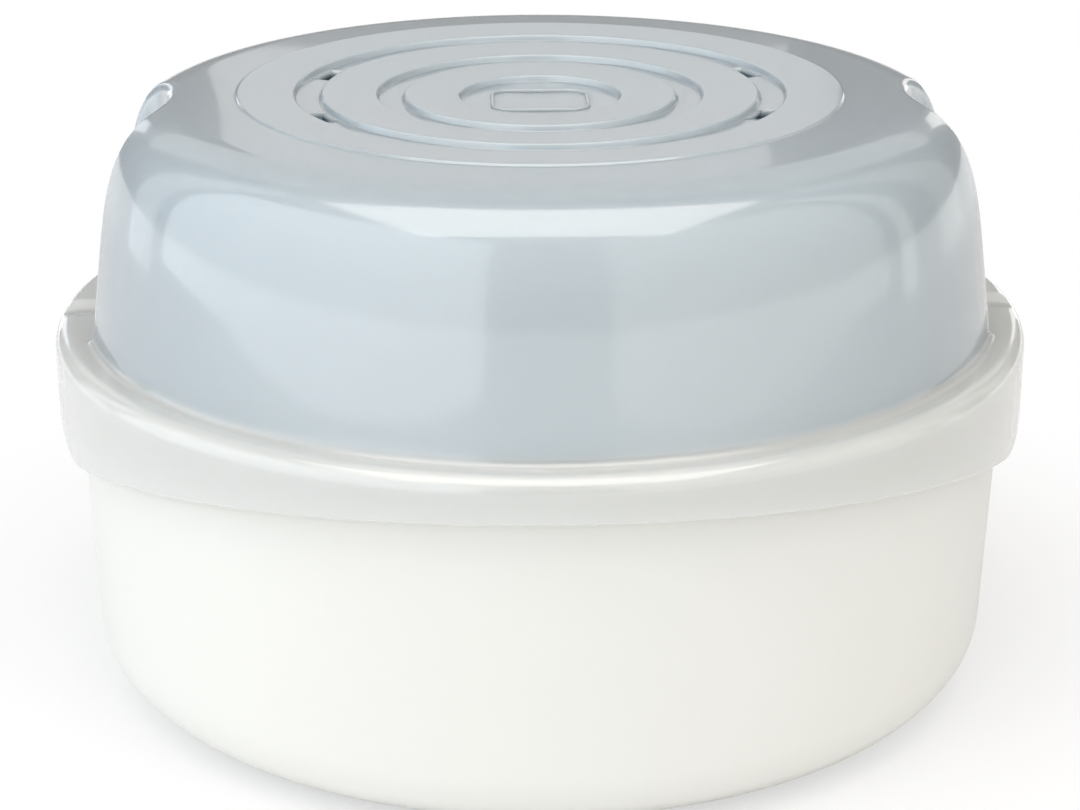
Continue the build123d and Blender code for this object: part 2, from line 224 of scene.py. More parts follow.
class StageSettings(bpy.types.PropertyGroup):
    distance: length("Camera distance", "From the object's axis, along the ground", 760.0 * MM)
    height: length("Camera height", "Height of the camera", 355.5 * MM)
    azimuth: angle("Camera azimuth", "Turn of the camera round the object", radians(1.5))
    pitch: angle("Camera pitch", "How far the camera looks down", 0.3522)
    lens: amount("Lens", "Focal length in millimetres on a 36 mm frame", 88.82)
    floor: colour("Floor", "Colour of the floor", "#F4F4F4")
    left_light: amount("Left light", "Radiance of the left panel", 1.25)
    right_light: amount("Right light", "Radiance of the right panel", 0.61)
    top_light: amount("Top light", "Radiance of the panel overhead", 2.5)
    edge_light: amount("Edge light", "Radiance of the narrow panels at the sides", 0.9)
    backdrop_light: amount("Backdrop light", "Radiance of the backdrop in mirroring faces", 0.39)
    back_light: amount("Back light", "Radiance of the two thin strips behind the object", 1.0)
    sky_light: amount("Sky light", "Radiance of the sky, apart from what the camera sees", 0.33)
    left_tint: colour("Left tint", "Colour of the left panel's light", "#F1F8FF")
    right_tint: colour("Right tint", "Colour of the right panel's light", "#FFFDF8")
    top_tint: colour("Top tint", "Colour of the overhead panel's light", "#FFF9F4")


GROUPS = {
    "lid": LidSizes,
    "frame": FrameSizes,
    "recess": RecessSizes,
    "vent": VentSizes,
    "bowl": BowlSizes,
    "finish": Finishes,
    "stage": StageSettings,
}


def settings(group):
    """The property group with this name."""
    return getattr(bpy.context.scene, f"sterilizer_{group}")


# Sections: lists of (radius, height) points


def arc(before, corner, after, radius, steps):
    """The points of an arc that rounds a corner."""
    inward = (before - corner).normalized()
    onward = (after - corner).normalized()
    half = inward.angle(onward) / 2
    centre = corner + (inward + onward).normalized() * (radius / sin(half))
    start = corner + inward * (radius / tan(half)) - centre
    end = corner + onward * (radius / tan(half)) - centre
    return [centre + start.slerp(end, step / steps).normalized() * radius for step in range(steps + 1)]


def rounded(points, radius, steps):
    """A line with every corner between its ends rounded."""
    line = [points[0]]
    for before, corner, after in zip(points, points[1:], points[2:]):
        line += arc(before, corner, after, radius, steps)
    return line + [points[-1]]


def divided(start, end, steps):
    """The points that divide a straight run, without its start."""
    return [start.lerp(end, step / steps) for step in range(1, steps + 1)]


def curve(start, start_handle, end_handle, end, steps):
    """The points of a Bezier curve, without its start."""
    points = interpolate_bezier(start, start_handle, end_handle, end, steps + 1)
    return [point.to_2d() for point in points][1:]


class LidShape:
    """Radii and heights that follow from the lid's sizes, with the inner and outer radii of its rings."""

    rings = ((23.3 * MM, 39.7 * MM), (47.2 * MM, 63.7 * MM), (71.2 * MM, 87.9 * MM))
    step_draft = 0.25 * MM

    def __init__(self):
        self.sizes = settings("lid")
        self.recess = settings("recess")
        self.foot_radius = SKIRT_RADIUS - self.sizes.foot_width
        self.shoulder_radius = self.foot_radius - self.sizes.shoulder_width
        self.dish = LID_TOP - self.sizes.dish_slope * self.rings[-1][1]
        self.flange_top = RIM_HEIGHT + self.sizes.seat_gap + self.sizes.flange
        self.flange_under = self.flange_top - self.sizes.flange
        self.shoulder_low = self.flange_top + self.sizes.wall_rise
        self.recess_offset = SKIRT_RADIUS + self.recess.standoff
        self.vent_radius = (self.rings[1][1] + self.rings[2][0]) / 2

    def wall_radius(self, height):
        """The radius of the outer wall at a height."""
        return self.foot_radius - self.sizes.wall_taper * (height - self.flange_top)

    def ringed_top(self, inset, steps):
        """The section of the ringed top, from the axis out to the shoulder."""
        sizes = self.sizes

        def height(radius):
            return self.dish + sizes.dish_slope * radius - inset

        corners = [Vector((0, height(0) - sizes.ring_step))]
        for inner, outer in self.rings:
            fall = sizes.rim_step if outer == self.rings[-1][1] else sizes.ring_step
            corners += [
                Vector((inner + inset - self.step_draft, height(inner) - sizes.ring_step)),
                Vector((inner + inset + self.step_draft, height(inner))),
                Vector((outer - inset - self.step_draft, height(outer))),
                Vector((outer - inset + self.step_draft, height(outer) - fall)),
            ]
        shoulder = self.shoulder_radius - inset * sizes.shoulder_slope
        run = shoulder - corners[-1].x
        corners.append(corners[-1] + Vector((run, -sizes.shoulder_slope * run)))
        line = rounded(corners, sizes.ring_round, steps)
        vent = settings("vent")
        for radius in (self.vent_radius - vent.width / 2, self.vent_radius + vent.width / 2):
            at = next(i for i, point in enumerate(line) if point.x > radius)
            share = (radius - line[at - 1].x) / (line[at].x - line[at - 1].x)
            line.insert(at, line[at - 1].lerp(line[at], share))
        return line

    def shoulder(self, start, inset, steps):
        """The section of the shoulder, down to the top of the straight wall."""
        sizes = self.sizes
        pull = sizes.shoulder_pull - inset
        low_pull = sizes.shoulder_low_pull - inset
        wall_top = Vector((self.wall_radius(self.shoulder_low) - inset, self.shoulder_low))
        start_handle = start + Vector((pull, -sizes.shoulder_slope * pull))
        end_handle = wall_top + Vector((-sizes.wall_taper * low_pull, low_pull))
        return curve(start, start_handle, end_handle, wall_top, steps)

    def outer_section(self):
        """The outer face in two parts: the ringed top, and the crest with the shoulder below it."""
        top = self.ringed_top(inset=0, steps=3)
        start = top.pop()
        crest = divided(top[-1], start, steps=18)
        side = self.shoulder(start, inset=0, steps=46)
        return top, crest + side

    def skirt_section(self):
        """The flange and skirt, from the foot of the outer wall round to the foot of the inner wall."""
        sizes = self.sizes
        foot = Vector((self.foot_radius, self.flange_top))
        wall_above = Vector((self.wall_radius(self.shoulder_low), self.shoulder_low))
        corner = Vector((SKIRT_RADIUS, self.flange_top))
        low = self.flange_top - sizes.skirt_dip
        outer_low = Vector((SKIRT_RADIUS, low))
        inner_low = Vector((SKIRT_RADIUS - sizes.wall, low))
        inner_corner = Vector((SKIRT_RADIUS - sizes.wall, self.flange_under))
        rib_outer = self.rib_outer()
        rib_inner = rib_outer - sizes.rib_width
        rib_low = self.flange_under - sizes.rib_depth
        hollow = arc(wall_above, foot, corner, sizes.foot_round, steps=5)
        line = divided(wall_above, hollow[0], steps=8) + hollow[1:]
        edge = arc(foot, corner, outer_low, sizes.skirt_round, steps=8)
        line += divided(line[-1], edge[0], steps=8) + edge[1:]
        low_outer = arc(corner, outer_low, inner_low, sizes.low_round, steps=2)
        low_inner = arc(outer_low, inner_low, inner_corner, sizes.low_round, steps=2)
        line += divided(line[-1], low_outer[0], steps=6) + low_outer[1:] + low_inner
        rib_foot = Vector((rib_outer, self.flange_under))
        under = arc(inner_low, inner_corner, rib_foot, sizes.under_round, steps=3)
        line += divided(line[-1], under[0], steps=4) + under[1:]
        rib = [
            rib_foot,
            Vector((rib_outer, rib_low)),
            Vector((rib_inner, rib_low)),
            Vector((rib_inner, self.flange_under)),
        ]
        inner_foot = Vector((self.wall_radius(self.flange_under) - sizes.wall, self.flange_under))
        return line + rib + [inner_foot]

    def rib_outer(self):
        """The outer radius of the rib that centres the lid in the bowl's rim."""
        bowl = settings("bowl")
        return bowl.radius + bowl.taper * bowl.lip_depth - bowl.wall - self.sizes.rib_play

    def inner_section(self):
        """The inner face from the foot of the inner wall up to the axis."""
        wall = self.sizes.wall
        top = self.ringed_top(inset=wall, steps=2)
        side = self.shoulder(top[-1], inset=wall, steps=20)
        inner_foot = Vector((self.wall_radius(self.flange_under) - wall, self.flange_under))
        return (top + side + divided(side[-1], inner_foot, steps=4))[:-1][::-1]


# Solids


def revolve(bm, line, spans):
    """Spins a section about the Z axis through spans of (turn, steps) that add up to a full turn."""
    verts = [bm.verts.new((point.x, 0, point.y)) for point in line]
    geom = verts + [bm.edges.new(pair) for pair in zip(verts, verts[1:])]
    start = -spans[0][0] / 2
    bmesh.ops.rotate(bm, verts=verts, cent=(0, 0, 0), matrix=Matrix.Rotation(start, 3, "Z"))
    for turn, steps in spans:
        spun = bmesh.ops.spin(bm, geom=geom, cent=(0, 0, 0), axis=(0, 0, 1), angle=turn, steps=steps)
        geom = spun["geom_last"]
    bmesh.ops.remove_doubles(bm, verts=bm.verts, dist=MERGE)
    bmesh.ops.recalc_face_normals(bm, faces=bm.faces)


def points_of(bm):
    """The vertices' places as an array."""
    return np.array([vert.co for vert in bm.verts])


def move_points(bm, points):
    """Moves every vertex to its new place."""
    for vert, point in zip(bm.verts, points):
        vert.co = point


def distance_to(line, radius, height):
    """How far points lie outside a section line, with the outward direction there."""
    line = np.array([tuple(point) for point in line])
    start, run = line[:-1], np.diff(line, axis=0)
    size = np.hypot(run[:, 0], run[:, 1])
    outward = np.stack([-run[:, 1], run[:, 0]], axis=-1) / size[:, None]
    offset = np.stack([radius, height], axis=-1)[:, None, :] - start
    share = np.clip((offset * run).sum(axis=-1) / size**2, 0, 1)
    away = offset - share[..., None] * run
    nearest = np.argmin((away**2).sum(axis=-1), axis=1)
    rows = np.arange(len(radius))
    facing = outward[nearest]
    gap = away[rows, nearest]
    side = (gap * facing).sum(axis=-1)
    return np.where(side < 0, -1, 1) * np.hypot(gap[:, 0], gap[:, 1]), facing


def sink_recesses(points, shape, wall_line):
    """Moves the vertices over each grip recess onto its face, with a rounded crest."""
    sizes, recess = shape.sizes, shape.recess
    x, y, z = points.T.copy()
    radius = np.hypot(x, y)
    side = np.where(x < 0, -1.0, 1.0)
    turn = np.arctan2(y, np.abs(x))

    # The depth of each vertex below the outer face, and its share of the way over the flange
    depth = np.where(distance_to(wall_line, radius, z)[0] < -sizes.wall / 2, sizes.wall, 0.0)
    foot_edge = shape.foot_radius + sizes.foot_round
    flange_edge = SKIRT_RADIUS - sizes.skirt_round
    on_flange = (abs(z - shape.flange_top) < TINY) & (radius > foot_edge - TINY)
    on_flange &= radius < flange_edge + TINY
    share = np.where(on_flange, np.clip((radius - foot_edge) / (flange_edge - foot_edge), 0, 1), 0.0)
    start_radius = np.where(on_flange, foot_edge, radius)
    near_foot = (z > shape.flange_top - TINY) & (z < shape.flange_top + sizes.foot_round + TINY)
    near_foot &= start_radius > shape.wall_radius(z) - TINY
    depth = np.where(near_foot, shape.wall_radius(z) - start_radius, depth)
    outer = (z > shape.flange_top - TINY) & (start_radius < foot_edge + TINY) & (depth < sizes.wall / 2)
    inner = (z > shape.flange_under - TINY) & (depth == sizes.wall)
    inner &= radius < shape.wall_radius(z) - sizes.wall + TINY
    follows = (outer | inner) & (radius > shape.rings[-1][1])

    # Where the recess meets the circle that each vertex lies on
    rise = tan(recess.draft)
    reach = shape.recess_offset
    hollow = recess.radius + depth + (z - shape.flange_top) * rise
    safe = np.where(follows, start_radius, 1.0)
    edge_cosine = (safe**2 + reach**2 - hollow**2) / (2 * safe * reach)
    edge_turn = np.arccos(np.clip(edge_cosine, -1, 1))
    hollow_cosine = (hollow**2 + reach**2 - safe**2) / (2 * hollow * reach)
    hollow_turn = np.arccos(np.clip(hollow_cosine, -1, 1))
    sunk = follows & (edge_cosine < 1) & (np.abs(turn) < edge_turn)
    swing = hollow_turn * turn / np.where(sunk, edge_turn, 1.0)
    far = np.where(sunk, reach - hollow * np.cos(swing), start_radius * np.cos(turn))
    wide = np.where(sunk, hollow * np.sin(swing), start_radius * np.sin(turn))

    # The rounded crest, on the side of the lid that the recess is on
    near = np.flatnonzero(follows & (np.abs(turn) < CREST_REACH))
    rolled = round_crest(far[near], wide[near], z[near], depth[near], shape, wall_line)
    far[near], wide[near] = rolled[:2]
    z[near] = np.where(z[near] > shape.flange_top + TINY, rolled[2], z[near])

    # The flange runs from the foot of the recess out to its own edge
    far = far + (flange_edge * np.cos(turn) - far) * share
    wide = wide + (flange_edge * np.sin(turn) - wide) * share
    moved = follows | on_flange
    return np.stack([np.where(moved, side * far, x), np.where(moved, wide, y), z], axis=-1)


def round_crest(far, wide, height, depth, shape, wall_line):
    """Moves vertices that stand proud of a ball, rolled where wall and recess meet, down onto its surface."""
    recess, reach, rise = shape.recess, shape.recess_offset, tan(shape.recess.draft)
    ball = recess.crest - depth
    for _ in range(CREST_PASSES):
        radius = np.hypot(far, wide)
        above, facing = distance_to(wall_line, radius, height)
        from_axis = np.hypot(far - reach, wide)
        out_of_wall = above + depth + ball
        into_recess = recess.radius + depth + (height - shape.flange_top) * rise - from_axis + ball
        size = np.hypot(out_of_wall, into_recess)
        proud = np.where((out_of_wall > 0) & (into_recess > 0), np.maximum(size - ball, 0), 0)
        slope = np.stack(
            [
                out_of_wall * facing[:, 0] * far / radius - into_recess * (far - reach) / from_axis,
                out_of_wall * facing[:, 0] * wide / radius - into_recess * wide / from_axis,
                out_of_wall * facing[:, 1] + into_recess * rise,
            ]
        ) / np.maximum(size, TINY)
        step = proud / np.maximum((slope**2).sum(axis=0), LEAST_SLOPE)
        far, wide, height = far - step * slope[0], wide - step * slope[1], height - step * slope[2]
    return far, wide, height


def press_notches(points, shape):
    """Presses the thumb notch into the flange below each recess."""
    recess = shape.recess
    x, y, z = points.T.copy()
    hollow = (recess.notch_width**2 / 4 + recess.notch_depth**2) / (2 * recess.notch_depth)
    start = shape.recess_offset - recess.radius + recess.notch_inset
    fall = recess.notch_depth * (np.abs(x) - start) / (SKIRT_RADIUS - start)
    floor = shape.flange_top + hollow - np.sqrt(np.maximum(hollow**2 - y**2, 0)) - fall
    soft = 0.3 * MM
    edge_radius = SKIRT_RADIUS - 2 * soft
    top_face = (z > shape.flange_top - shape.sizes.skirt_round) & (z < shape.flange_top + TINY)
    top_face &= (np.abs(y) < recess.notch_width) & (np.abs(x) > start) & (np.hypot(x, y) > start)
    top_face &= (z > shape.flange_under + TINY) | (np.hypot(x, y) > edge_radius)
    blend = np.clip(0.5 + 0.5 * (floor - z) / soft, 0, 1)
    lowered = floor + (z - floor) * blend - soft * blend * (1 - blend)
    return np.stack([x, y, np.where(top_face, np.minimum(z, lowered), z)], axis=-1)


def shape_skirt(points, shape):
    """Gives the skirt's lower line its dips and its arch under each recess."""
    sizes = shape.sizes
    low = shape.flange_top - sizes.skirt_dip
    slope = (sizes.skirt_dip - sizes.skirt_front) / (SKIRT_RADIUS - sizes.dip_offset)
    beyond = SKIRT_RADIUS + 5 * MM
    half = [
        Vector((0, sizes.skirt_dip - sizes.skirt_arch)),
        Vector((sizes.arch_offset, sizes.skirt_dip - sizes.skirt_arch)),
        Vector((sizes.dip_offset, 0)),
        Vector((beyond, slope * (beyond - sizes.dip_offset))),
    ]
    line = np.array([tuple(point) for point in rounded(half, sizes.edge_round, steps=8)])
    x, y, z = points.T.copy()
    lift = np.interp(np.abs(y), line[:, 0], line[:, 1])
    full = low + 2 * sizes.low_round
    top = shape.flange_top - sizes.skirt_round
    share = np.clip((top - z) / (top - full), 0, 1)
    on_skirt = np.hypot(x, y) > SKIRT_RADIUS - sizes.wall - TINY
    return np.stack([x, y, z + np.where(on_skirt, lift * share, 0)], axis=-1)


def open_vents(bm, shape):
    """Opens the steam vents and joins the edges of their two faces."""
    vent = settings("vent")
    low, high = shape.vent_radius - vent.width / 2, shape.vent_radius + vent.width / 2
    centres = [side + sign * vent.turn for side in (0, pi) for sign in (-1, 1)]
    for centre in centres:
        middle = Vector((cos(centre), sin(centre), 0))
        cut = []
        for face in bm.faces:
            spot = face.calc_center_median()
            flat = Vector((spot.x, spot.y, 0))
            if low < flat.length < high and flat.angle(middle) < vent.half_span:
                cut.append(face)
        bmesh.ops.delete(bm, geom=cut, context="FACES")
        rim = [edge for edge in bm.edges if edge.is_boundary and edge.verts[0].co.to_2d().length < high + MM]
        bmesh.ops.bridge_loops(bm, edges=rim)


# Objects and materials


def new_piece(name, bm, body, node, material):
    """Makes a smooth object of a mesh, which rides on a body in place of a CAD node."""
    for face in bm.faces:
        face.smooth = True
    mesh = bpy.data.meshes.new(name)
    bm.to_mesh(mesh)
    bm.free()
    piece = bpy.data.objects.new(name, mesh)
    bpy.context.scene.collection.objects.link(piece)
    mesh.materials.append(material)
    normals = piece.modifiers.new("Even normals", "WEIGHTED_NORMAL")
    normals.keep_sharp = True
    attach(piece, body)
    if node:
        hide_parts(node)
    return piece


def softened_copy(node):
    """A merged copy of a CAD node with its sharp edges rounded."""
    bm = bmesh.new()
    bm.from_mesh(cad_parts[node].data)
    bmesh.ops.remove_doubles(bm, verts=bm.verts, dist=MERGE)
    bmesh.ops.dissolve_limit(bm, angle_limit=FLAT, verts=bm.verts, edges=bm.edges)
    sharp = [edge for edge in bm.edges if edge.is_manifold and edge.calc_face_angle() > ROUNDED]
    bmesh.ops.bevel(
        bm,
        geom=sharp,
        offset=settings("finish").edge_bevel,
        offset_type="OFFSET",
        affect="EDGES",
        segments=2,
        profile=0.5,
        material=-1,
        clamp_overlap=True,
    )
    for edge in bm.edges:
        edge.smooth = not edge.is_manifold or edge.calc_face_angle() < CREASED
    return bm


def linear(hex_code):
    """An sRGB hex colour as the linear colour that the shaders take."""
    values = [int(hex_code[i : i + 2], 16) / 255 for i in (1, 3, 5)]
    return tuple(v / 12.92 if v <= 0.04045 else ((v + 0.055) / 1.055) ** 2.4 for v in values) + (1.0,)


def add_node(tree, kind, values=None, links=None):
    """Adds a node with its settings, and its incoming links by the sockets' names or numbers."""
    made = tree.nodes.new(kind)
    for name, value in (values or {}).items():
        if isinstance(name, str) and hasattr(made, name):
            setattr(made, name, value)
        else:
            made.inputs[name].default_value = value
    for name, source in (links or {}).items():
        tree.links.new(source, made.inputs[name])
    return made


def start_material(name):
    """An empty node material and its tree."""
    material = bpy.data.materials.new(name)
    material.use_nodes = True
    material.node_tree.nodes.clear()
    return material, material.node_tree


def drifting_tint(tree, place, tint, deep_share):
    """A tint that drifts softly towards a deeper one, as flow in the mould leaves it."""
    drift_scale = {"Scale": 1 / DRIFT_WIDTH, "Detail": 2.0}
    drift = add_node(tree, "ShaderNodeTexNoise", drift_scale, {"Vector": place})
    deep = tuple(deep_share * value for value in tint[:3]) + (1.0,)
    colours = {"data_type": "RGBA", MIX_LOW: deep, MIX_HIGH: tint}
    mixed = add_node(tree, "ShaderNodeMix", colours, {"Factor": drift.outputs["Fac"]})
    return mixed.outputs[MIX_RESULT]


def mould_grain(tree, place, grain_mm, depth_mm):
    """The tool's own grain, as a bump."""
    grain_scale = {"Scale": 1 / (grain_mm * MM), "Detail": 3.0}
    grain = add_node(tree, "ShaderNodeTexNoise", grain_scale, {"Vector": place})
    bump = add_node(tree, "ShaderNodeBump", {"Distance": depth_mm * MM}, {"Height": grain.outputs["Fac"]})
    return bump.outputs["Normal"]


def finish_shader(tree, surface, links):
    """The principled shader with its settings and links, joined to the output."""
    shader = add_node(tree, "ShaderNodeBsdfPrincipled", surface, links)
    add_node(tree, "ShaderNodeOutputMaterial", None, {"Surface": shader.outputs["BSDF"]})


def cloudy_polypropylene():
    """Tinted natural polypropylene from a polished tool: milky, with a hard skin that mirrors the lamps.

    It is painted paler where its skirt and flange lie over the white bowl, as painted light from the bowl
    seen through the plastic, and painted deeper where the eye looks along the wall, as painted shade.
    """
    material, tree = start_material("cloudy_polypropylene")
    finish, shape = settings("finish"), LidShape()
    place = add_node(tree, "ShaderNodeTexCoord").outputs["Object"]
    height = add_node(tree, "ShaderNodeSeparateXYZ", None, {"Vector": place}).outputs["Z"]
    # Painted light: the tint turns paler from a little above the wall's foot down over the flange and skirt,
    # standing in for the white bowl's light seen through the plastic
    bowl_glow_share = add_node(
        tree,
        "ShaderNodeMapRange",
        {
            "interpolation_type": "SMOOTHSTEP",
            "From Min": shape.flange_top + 3.5 * MM,
            "From Max": shape.flange_top - 0.5 * MM,
        },
        {"Value": height},
    )
    dome = drifting_tint(tree, place, linear(finish.lid), deep_share=0.95)
    face_on = add_node(
        tree,
        "ShaderNodeMix",
        {"data_type": "RGBA", MIX_HIGH: linear(finish.skirt)},
        {"Factor": bowl_glow_share.outputs["Result"], MIX_LOW: dome},
    )
    # Painted shade: where the eye looks along the wall, the Layer Weight below deepens the tint towards the
    # deeper grazing colour
    grazing_shade_tint = add_node(
        tree,
        "ShaderNodeMix",
        {"data_type": "RGBA", MIX_LOW: linear(finish.lid_grazing_shade), MIX_HIGH: linear(finish.skirt_grazing_glow)},
        {"Factor": bowl_glow_share.outputs["Result"]},
    )
    edge = add_node(tree, "ShaderNodeLayerWeight", {"Blend": 0.4})
    tint = add_node(
        tree,
        "ShaderNodeMix",
        {"data_type": "RGBA"},
        {
            "Factor": edge.outputs["Facing"],
            MIX_LOW: face_on.outputs[MIX_RESULT],
            MIX_HIGH: grazing_shade_tint.outputs[MIX_RESULT],
        },
    )
    surface = {
        "Roughness": 0.2,
        "IOR": 1.49,
        "Specular IOR Level": 0.75,
        "Subsurface Weight": 0.7,
        "Subsurface Radius": (5 * MM, 5.6 * MM, 6 * MM),
        "Subsurface Scale": 1.0,
        "Transmission Weight": 0.25,
        "Coat Weight": 1.0,
        "Coat Roughness": 0.05,
        "Coat IOR": 1.49,
    }
    grain = mould_grain(tree, place, grain_mm=14, depth_mm=0.02)
    finish_shader(tree, surface, {"Base Color": tint.outputs[MIX_RESULT], "Normal": grain})
    return material


def satin_plastic(name, tint, grain_mm, depth_mm, surface):
    """An opaque moulded plastic from a finely blasted tool: an even skin with a broad, soft shine."""
    material, tree = start_material(name)
    place = add_node(tree, "ShaderNodeTexCoord").outputs["Object"]
    links = {
        "Base Color": drifting_tint(tree, place, linear(tint), deep_share=0.97),
        "Normal": mould_grain(tree, place, grain_mm, depth_mm),
    }
    finish_shader(tree, surface, links)
    return material


def white_polypropylene():
    """Opaque white polypropylene from a finely blasted tool: a satin skin whose edges glow a little."""
    surface = {
        "Roughness": 0.34,
        "IOR": 1.49,
        "Subsurface Weight": 0.08,
        "Subsurface Radius": (3 * MM, 3 * MM, 2.8 * MM),
        "Subsurface Scale": 1.0,
    }
    tint = settings("finish").bowl
    return satin_plastic("white_polypropylene", tint, grain_mm=1.2, depth_mm=0.006, surface=surface)


def matt_moulding(name, tint):
    """Polypropylene or acetal from a matt tool, for the small inner pieces: even, with little shine."""
    surface = {"Roughness": 0.45, "IOR": 1.49}
    return satin_plastic(name, tint, grain_mm=0.9, depth_mm=0.008, surface=surface)


class STERILIZER_OT_lid(bpy.types.Operator):
    """Build the domed lid with its rings, vents, grip recesses, flange and skirt"""

    bl_idname = "sterilizer.lid"
    bl_label = "Lid"

    def execute(self, context):
        shape = LidShape()
        vent = settings("vent")
        recess_turn = 2 * (vent.turn - vent.half_span)
        top, side = shape.outer_section()
        line = top + side + shape.skirt_section() + shape.inner_section()
        vent_span = (2 * vent.half_span, VENT_STEPS)
        between = pi - 2 * (vent.turn + vent.half_span)
        half_turn = [(recess_turn, RECESS_STEPS), vent_span, (between, BETWEEN_STEPS), vent_span]
        bm = bmesh.new()
        revolve(bm, line, half_turn * 2)
        wall_line = top[-1:] + side + [Vector((shape.wall_radius(0), 0))]
        points = sink_recesses(points_of(bm), shape, wall_line)
        points = press_notches(points, shape)
        move_points(bm, shape_skirt(points, shape))
        open_vents(bm, shape)
        bmesh.ops.recalc_face_normals(bm, faces=bm.faces)
        new_piece("lid_dome", bm, "cover", "lid", cloudy_polypropylene())
        return {"FINISHED"}


class STERILIZER_OT_frame(bpy.types.Operator):
    """Build the plain raised frame in the middle of the lid's top"""

    bl_idname = "sterilizer.frame"
    bl_label = "Top frame"

    def execute(self, context):
        shape, sizes = LidShape(), settings("frame")
        bm = bmesh.new()
        bmesh.ops.create_grid(bm, x_segments=1, y_segments=1, size=0.5)
        bmesh.ops.scale(bm, vec=(sizes.width, sizes.depth, 1), verts=bm.verts)
        bmesh.ops.bevel(
            bm,
            geom=bm.verts,
            offset=sizes.corner,
            affect="VERTICES",
            segments=8,
            profile=0.5,
            material=-1,
        )
        bmesh.ops.inset_region(
            bm,
            faces=bm.faces,
            thickness=sizes.line,
            use_boundary=True,
            use_even_offset=True,
        )
        middle = max(bm.faces, key=lambda face: face.calc_area())
        bmesh.ops.delete(bm, geom=[middle], context="FACES_ONLY")
        raised = bmesh.ops.extrude_face_region(bm, geom=bm.faces, use_keep_orig=True)
        top = [item for item in raised["geom"] if isinstance(item, bmesh.types.BMVert)]
        bmesh.ops.translate(bm, vec=(0, 0, sizes.rise + sizes.sunk), verts=top)
        upper = [edge for edge in bm.edges if all(vert in top for vert in edge.verts)]
        bmesh.ops.bevel(
            bm,
            geom=[edge for edge in upper if edge.calc_face_angle() > radians(45)],
            offset=sizes.rounding * sizes.line,
            affect="EDGES",
            segments=4,
            profile=0.5,
            material=-1,
        )
        for vert in bm.verts:
            away = vert.co.to_2d().length
            vert.co.z += shape.dish - shape.sizes.ring_step + shape.sizes.dish_slope * away - sizes.sunk
        bmesh.ops.recalc_face_normals(bm, faces=bm.faces)
        material = bpy.data.materials["cloudy_polypropylene"]
        new_piece("lid_frame", bm, "cover", None, material)
        return {"FINISHED"}


class STERILIZER_OT_bowl(bpy.types.Operator):
    """Build the bowl with its foot ring, full lower corner and lip"""

    bl_idname = "sterilizer.bowl"
    bl_label = "Bowl"

    def execute(self, context):
        sizes = settings("bowl")
        corner_radius = sizes.radius - sizes.taper * (RIM_HEIGHT - sizes.lip_depth - sizes.corner_height)
        inner = corner_radius - sizes.wall
        rim_inner = inner + sizes.taper * (RIM_HEIGHT - sizes.corner_height)
        foot = sizes.radius - sizes.foot_inset
        floor = sizes.foot_height + sizes.wall
        under_lip = RIM_HEIGHT - sizes.lip_depth
        bevel_top = foot - sizes.foot_width + sizes.foot_bevel
        line = rounded(
            [
                Vector((0, sizes.foot_height)),
                Vector((foot - sizes.foot_width, sizes.foot_height)),
                Vector((bevel_top, 0)),
                Vector((foot, 0)),
            ],
            sizes.edge_round,
            steps=2,
        )
        line += self.corner(foot, 0, corner_radius)
        lip = sizes.radius + sizes.lip_width
        rim = [
            Vector((corner_radius, sizes.corner_height)),
            Vector((sizes.radius, under_lip)),
            Vector((lip, under_lip)),
            Vector((lip, RIM_HEIGHT)),
            Vector((rim_inner, RIM_HEIGHT)),
            Vector((inner, sizes.corner_height)),
        ]
        line += divided(rim[0], rim[1], steps=6)[:-1]
        line += arc(*rim[0:3], sizes.edge_round, steps=2)
        line += arc(*rim[1:4], sizes.edge_round, steps=2)
        line += arc(*rim[2:5], sizes.lip_round, steps=5)
        line += arc(*rim[3:6], sizes.edge_round, steps=3)
        line += divided(line[-1], rim[5], steps=6)
        inside = self.corner(foot, floor, inner)
        line += inside[:-1][::-1] + [Vector((foot, floor)), Vector((0, floor))]
        bm = bmesh.new()
        revolve(bm, line, [(2 * pi, settings("finish").turns)])
        new_piece("bowl_body", bm, "bowl", "base", white_polypropylene())
        return {"FINISHED"}

    def corner(self, foot, low, radius):
        """The full curve from the foot ring up to the side."""
        sizes = settings("bowl")
        fullness = sizes.corner_fullness
        start, end = Vector((foot, low)), Vector((radius, sizes.corner_height))
        start_handle = start + Vector(((radius - foot) * fullness, 0))
        end_handle = end - Vector((sizes.taper, 1)) * ((sizes.corner_height - low) * fullness)
        return curve(start, start_handle, end_handle, end, steps=28)


class STERILIZER_OT_rack(bpy.types.Operator):
    """Finish the bottle rack, the centre post and the teat basket"""

    bl_idname = "sterilizer.rack"
    bl_label = "Rack, post and basket"

    def execute(self, context):
        finish = matt_moulding("satin_polypropylene", settings("finish").rack)
        for node, body in (("bottle_rack", "rack"), ("centre_post", "rack"), ("teat_basket", "basket")):
            new_piece(f"{node}_finished", softened_copy(node), body, node, finish)
        return {"FINISHED"}


class STERILIZER_OT_tongs(bpy.types.Operator):
    """Finish the two arms of the tongs and their pin"""

    bl_idname = "sterilizer.tongs"
    bl_label = "Tongs"

    def execute(self, context):
        finish = settings("finish")
        blue = matt_moulding("blue_polypropylene", finish.tongs)
        white = matt_moulding("white_acetal", finish.pin)
        for name, node, body, slot, material in (
            ("tongs_lower_finished", "tongs_lower_arm", "tongs", "tongs_plastic", blue),
            ("tongs_upper_finished", "tongs_upper_arm", "tongs_arm", "tongs_plastic", blue),
            ("tongs_pin_finished", "tongs_pin", "tongs", "pin_plastic", white),
        ):
            new_piece(name, softened_copy(node), body, node, material)
        return {"FINISHED"}


